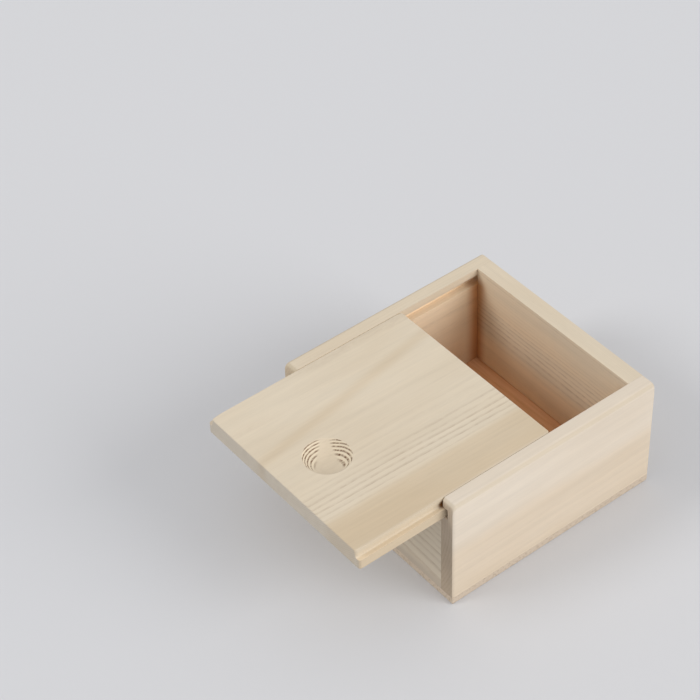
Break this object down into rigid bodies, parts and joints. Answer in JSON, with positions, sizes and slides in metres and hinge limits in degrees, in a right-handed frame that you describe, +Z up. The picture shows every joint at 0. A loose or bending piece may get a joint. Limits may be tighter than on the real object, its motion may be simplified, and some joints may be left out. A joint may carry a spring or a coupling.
{
  "type": "sliding lid wooden box",
  "caption": "Square low box of pale wooden boards, with a lid that slides out through an open front in grooves under the side boards' lips, and a round finger pull.",
  "frame": {"origin": "middle of the underside of the box, on the surface that it stands on; the lid reaches past it at the front", "axes": "+Z up; the lid is drawn out of the box towards -Y, so the open front faces -Y and the back wall faces +Y; +X is the right side board seen from the front"},
  "size_m": [0.12, 0.1672, 0.0625],
  "materials": {
    "side_wood": "sanded, unfinished pale softwood",
    "end_wood": "sanded, unfinished pale softwood",
    "bottom_wood": "unfinished plywood sheet",
    "lid_wood": "sanded, unfinished pale softwood"
  },
  "bodies": {
    "box": {"bottom_panel": "bottom_wood", "left_side": "side_wood", "right_side": "side_wood", "back_wall": "end_wood", "front_wall": "end_wood"},
    "lid": {"lid": "lid_wood"}
  },
  "joints": [
    {"name": "lid_slide", "type": "slide", "parent": "box", "child": "lid", "axis": [0, -1, 0], "range_m": [-0.0472, 0.07]}
  ]
}
